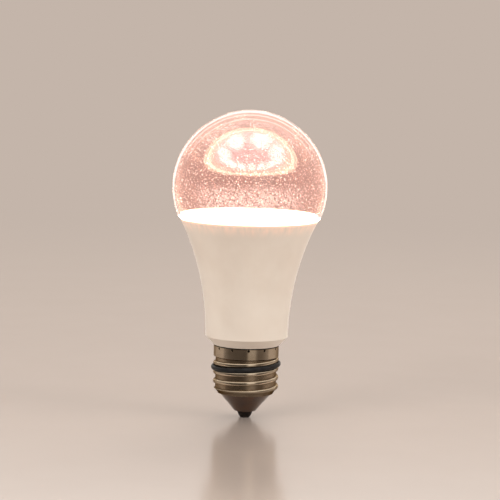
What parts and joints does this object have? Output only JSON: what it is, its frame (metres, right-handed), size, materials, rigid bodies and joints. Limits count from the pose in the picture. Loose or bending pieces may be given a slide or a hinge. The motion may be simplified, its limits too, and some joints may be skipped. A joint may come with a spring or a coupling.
{
  "type": "led grow light bulb",
  "caption": "Screw-in grow lamp with a clear half-globe over a ring of lit LEDs, a white flared plastic housing and a nickel-plated screw base with a black rubber ring.",
  "frame": {"origin": "centre of the centre contact's flat end, at the bottom of the lamp's axis", "axes": "+Z along the lamp's axis from the contact to the globe, -Y towards the viewer of the picture"},
  "size_m": [0.061, 0.061, 0.1225],
  "materials": {
    "clear_plastic": "clear moulded plastic",
    "white_plastic": "satin moulded plastic",
    "white_board": "white solder mask",
    "led_package": "lit phosphor",
    "aluminium": "drawn",
    "aluminium_can": "dark sleeve",
    "circuit_board": "solder mask",
    "black_epoxy": "moulded epoxy",
    "ferrite": "sintered",
    "copper": "enamelled copper",
    "resistor_coat": "flameproof coat",
    "red_wire": "insulated wire",
    "white_wire": "insulated wire",
    "nickel_plate": "nickel-plated rolled sheet",
    "black_rubber": "matte rubber",
    "dark_insulator": "glossy dark insulator",
    "dark_contact": "blackened metal"
  },
  "bodies": {
    "root": {"base_insulator": "dark_insulator", "bridge_rectifier": "black_epoxy", "centre_contact": "dark_contact", "driver_board": "circuit_board", "driver_chip": "black_epoxy", "fuse_resistor": "resistor_coat", "globe": "clear_plastic", "heatsink_cup": "aluminium", "housing": "white_plastic", "inductor_core": "ferrite", "inductor_winding": "copper", "input_capacitor": "aluminium_can", "led_01": "led_package", "led_02": "led_package", "led_03": "led_package", "led_04": "led_package", "led_05": "led_package", "led_06": "led_package", "led_07": "led_package", "led_08": "led_package", "led_09": "led_package", "led_10": "led_package", "led_11": "led_package", "led_board": "white_board", "live_lead": "red_wire", "neutral_lead": "white_wire", "output_capacitor": "aluminium_can", "output_pin_a": "copper", "output_pin_b": "copper", "screw_shell": "nickel_plate", "seal_ring": "black_rubber"}
  },
  "joints": []
}
